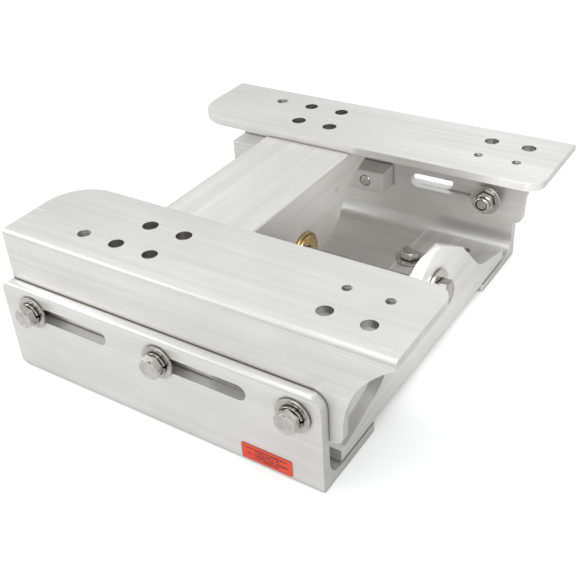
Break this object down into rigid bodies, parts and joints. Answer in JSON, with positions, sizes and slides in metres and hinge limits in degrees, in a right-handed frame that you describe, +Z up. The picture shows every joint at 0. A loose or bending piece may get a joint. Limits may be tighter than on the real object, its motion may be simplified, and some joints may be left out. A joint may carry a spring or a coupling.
{
  "type": "manual jack plate",
  "caption": "Vertical-lift bracket for an outboard motor: a carriage of two rails slides in a wide transom channel, moved by a jack screw in a brass nut.",
  "frame": {"origin": "middle of the underside of the channel's base, under the middle of the overall box", "axes": "+Z up from the transom face to the motor face, +X the way the carriage slides toward the screw head, +Y across to the far side"},
  "size_m": [0.404, 0.4372, 0.1495],
  "materials": {
    "channel": "mill finish, extrusion lines",
    "end_angle": "mill finish, extrusion lines",
    "label": "printed film",
    "base_washer_front_1": "stainless, bright",
    "base_bolt_front_1": "stainless, bright",
    "slide_bush_front": "stainless, bright",
    "flat_washer_front_3": "stainless, bright",
    "lock_washer_front_3": "stainless, bright",
    "side_bolt_front_3": "stainless, bright",
    "inner_washer_front": "stainless, bright",
    "lock_nut_front": "stainless, bright",
    "base_washer_far_1": "stainless, bright",
    "base_bolt_far_1": "stainless, bright",
    "slide_bush_far": "stainless, bright",
    "flat_washer_far_3": "stainless, bright",
    "lock_washer_far_3": "stainless, bright",
    "side_bolt_far_3": "stainless, bright",
    "inner_washer_far": "stainless, bright",
    "lock_nut_far": "stainless, bright",
    "rail_front": "mill finish, extrusion lines",
    "rail_far": "mill finish, extrusion lines",
    "cross_beam": "mill finish, extrusion lines",
    "bar_front": "mill finish, extrusion lines",
    "bar_far": "mill finish, extrusion lines",
    "brass_nut": "turned",
    "flat_washer_front_1": "stainless, bright",
    "lock_washer_front_1": "stainless, bright",
    "side_bolt_front_1": "stainless, bright",
    "flat_washer_front_2": "stainless, bright",
    "lock_washer_front_2": "stainless, bright",
    "side_bolt_front_2": "stainless, bright",
    "flat_washer_far_1": "stainless, bright",
    "lock_washer_far_1": "stainless, bright",
    "side_bolt_far_1": "stainless, bright",
    "flat_washer_far_2": "stainless, bright",
    "lock_washer_far_2": "stainless, bright",
    "side_bolt_far_2": "stainless, bright",
    "jack_screw": "stainless, bright",
    "jack_washer_outer": "stainless, bright",
    "jack_washer_inner": "stainless, bright",
    "jack_lock_nut": "stainless, bright"
  },
  "bodies": {
    "transom_frame": {"channel": "channel", "end_angle": "end_angle", "label": "label", "base_washer_front_1": "base_washer_front_1", "base_bolt_front_1": "base_bolt_front_1", "slide_bush_front": "slide_bush_front", "flat_washer_front_3": "flat_washer_front_3", "lock_washer_front_3": "lock_washer_front_3", "side_bolt_front_3": "side_bolt_front_3", "inner_washer_front": "inner_washer_front", "lock_nut_front": "lock_nut_front", "base_washer_far_1": "base_washer_far_1", "base_bolt_far_1": "base_bolt_far_1", "slide_bush_far": "slide_bush_far", "flat_washer_far_3": "flat_washer_far_3", "lock_washer_far_3": "lock_washer_far_3", "side_bolt_far_3": "side_bolt_far_3", "inner_washer_far": "inner_washer_far", "lock_nut_far": "lock_nut_far"},
    "carriage": {"rail_front": "rail_front", "rail_far": "rail_far", "cross_beam": "cross_beam", "bar_front": "bar_front", "bar_far": "bar_far", "brass_nut": "brass_nut", "flat_washer_front_1": "flat_washer_front_1", "lock_washer_front_1": "lock_washer_front_1", "side_bolt_front_1": "side_bolt_front_1", "flat_washer_front_2": "flat_washer_front_2", "lock_washer_front_2": "lock_washer_front_2", "side_bolt_front_2": "side_bolt_front_2", "flat_washer_far_1": "flat_washer_far_1", "lock_washer_far_1": "lock_washer_far_1", "side_bolt_far_1": "side_bolt_far_1", "flat_washer_far_2": "flat_washer_far_2", "lock_washer_far_2": "lock_washer_far_2", "side_bolt_far_2": "side_bolt_far_2"},
    "jack": {"jack_screw": "jack_screw", "jack_washer_outer": "jack_washer_outer", "jack_washer_inner": "jack_washer_inner", "jack_lock_nut": "jack_lock_nut"}
  },
  "joints": [
    {"name": "lift_slide", "type": "slide", "parent": "transom_frame", "child": "carriage", "axis": [1, 0, 0], "range_m": [0, 0.0825]},
    {"name": "jack_turn", "type": "hinge", "parent": "transom_frame", "child": "jack", "pos_m": [0.1, 0, 0.0735], "axis": [-1, 0, 0], "range_deg": [0, 12863]}
  ],
  "couplings": [
    {"joint": "jack_turn", "follows": "lift_slide", "rad_per_m": 2721.1}
  ]
}
